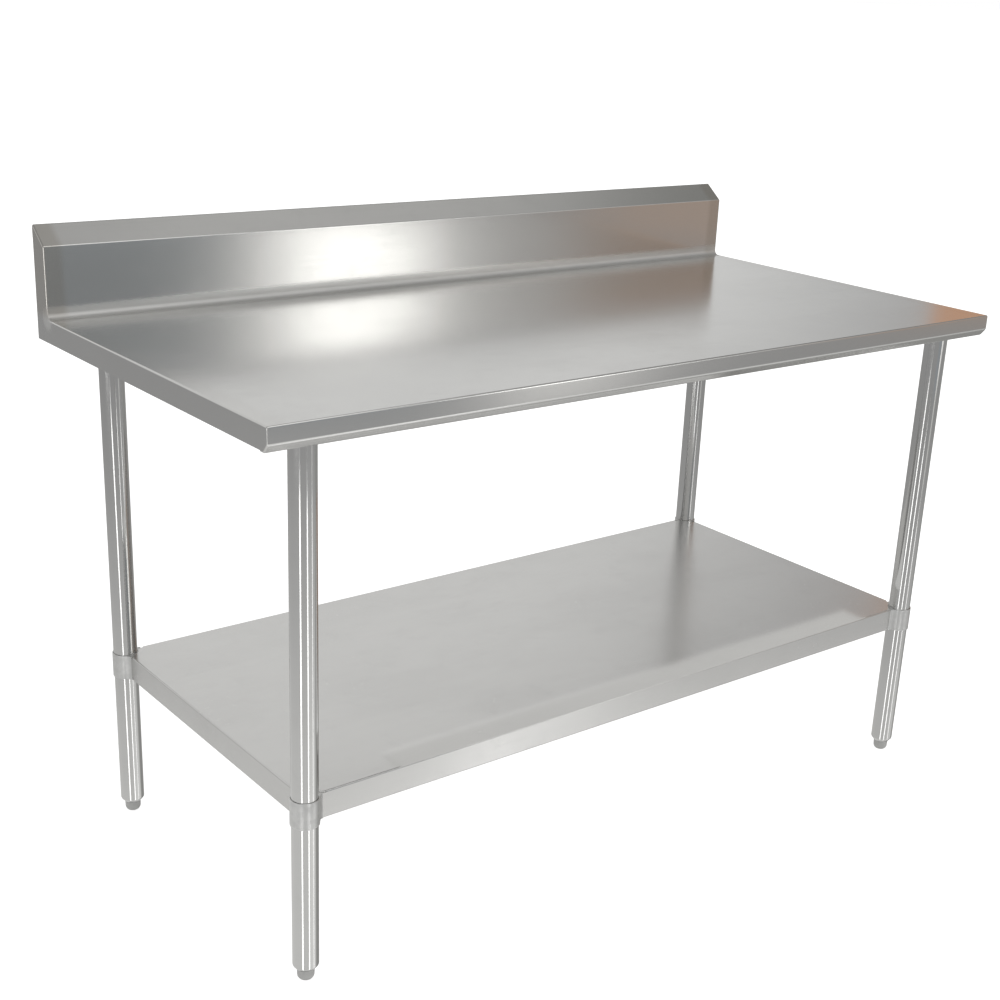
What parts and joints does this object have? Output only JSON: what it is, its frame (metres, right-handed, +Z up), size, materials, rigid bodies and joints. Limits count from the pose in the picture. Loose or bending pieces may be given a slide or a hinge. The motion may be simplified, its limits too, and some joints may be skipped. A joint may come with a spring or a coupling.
{
  "type": "stainless work table",
  "caption": "Commercial kitchen work table: folded stainless top with a raised rear splash, round tube legs, a height-adjustable undershelf and levelling bullet feet.",
  "frame": {"origin": "on the floor under the middle of the table's plan", "axes": "+X along the table to the right as seen from the front, +Y back towards the splash, +Z up"},
  "size_m": [1.524, 0.762, 1.0509],
  "materials": {
    "worktop_steel": "fine brushed, satin",
    "shelf_steel": "fine brushed, satin",
    "leg_tube": "polished tube",
    "collar_steel": "matte blasted",
    "channel_steel": "galvanised",
    "socket_casting": "as cast",
    "fastener_steel": "zinc plated",
    "foot_plastic": "moulded, matte"
  },
  "bodies": {
    "frame": {"worktop": "worktop_steel", "splash_end_left": "worktop_steel", "splash_end_right": "worktop_steel", "end_channel_left": "channel_steel", "end_channel_right": "channel_steel", "long_channel": "channel_steel", "channel_studs": "fastener_steel", "channel_nuts": "fastener_steel", "socket_set_screws": "fastener_steel", "foot_nuts": "fastener_steel", "leg_socket_front_left": "socket_casting", "leg_front_left": "leg_tube", "foot_insert_front_left": "foot_plastic", "leg_socket_front_right": "socket_casting", "leg_front_right": "leg_tube", "foot_insert_front_right": "foot_plastic", "leg_socket_rear_left": "socket_casting", "leg_rear_left": "leg_tube", "foot_insert_rear_left": "foot_plastic", "leg_socket_rear_right": "socket_casting", "leg_rear_right": "leg_tube", "foot_insert_rear_right": "foot_plastic"},
    "shelf": {"undershelf": "shelf_steel", "shelf_channel": "channel_steel", "collar_set_screws": "fastener_steel", "shelf_collar_front_left": "collar_steel", "shelf_collar_front_right": "collar_steel", "shelf_collar_rear_left": "collar_steel", "shelf_collar_rear_right": "collar_steel"},
    "foot_front_left": {"foot_front_left": "foot_plastic", "foot_spindle_front_left": "fastener_steel"},
    "foot_front_right": {"foot_front_right": "foot_plastic", "foot_spindle_front_right": "fastener_steel"},
    "foot_rear_left": {"foot_rear_left": "foot_plastic", "foot_spindle_rear_left": "fastener_steel"},
    "foot_rear_right": {"foot_rear_right": "foot_plastic", "foot_spindle_rear_right": "fastener_steel"}
  },
  "joints": [
    {"name": "shelf_slide", "type": "slide", "parent": "frame", "child": "shelf", "axis": [0, 0, 1], "range_m": [-0.22, 0.42]},
    {"name": "foot_front_left_screw", "type": "slide", "parent": "frame", "child": "foot_front_left", "axis": [0, 0, -1], "range_m": [-0.01, 0.015]},
    {"name": "foot_front_right_screw", "type": "slide", "parent": "frame", "child": "foot_front_right", "axis": [0, 0, -1], "range_m": [-0.01, 0.015]},
    {"name": "foot_rear_left_screw", "type": "slide", "parent": "frame", "child": "foot_rear_left", "axis": [0, 0, -1], "range_m": [-0.01, 0.015]},
    {"name": "foot_rear_right_screw", "type": "slide", "parent": "frame", "child": "foot_rear_right", "axis": [0, 0, -1], "range_m": [-0.01, 0.015]}
  ]
}
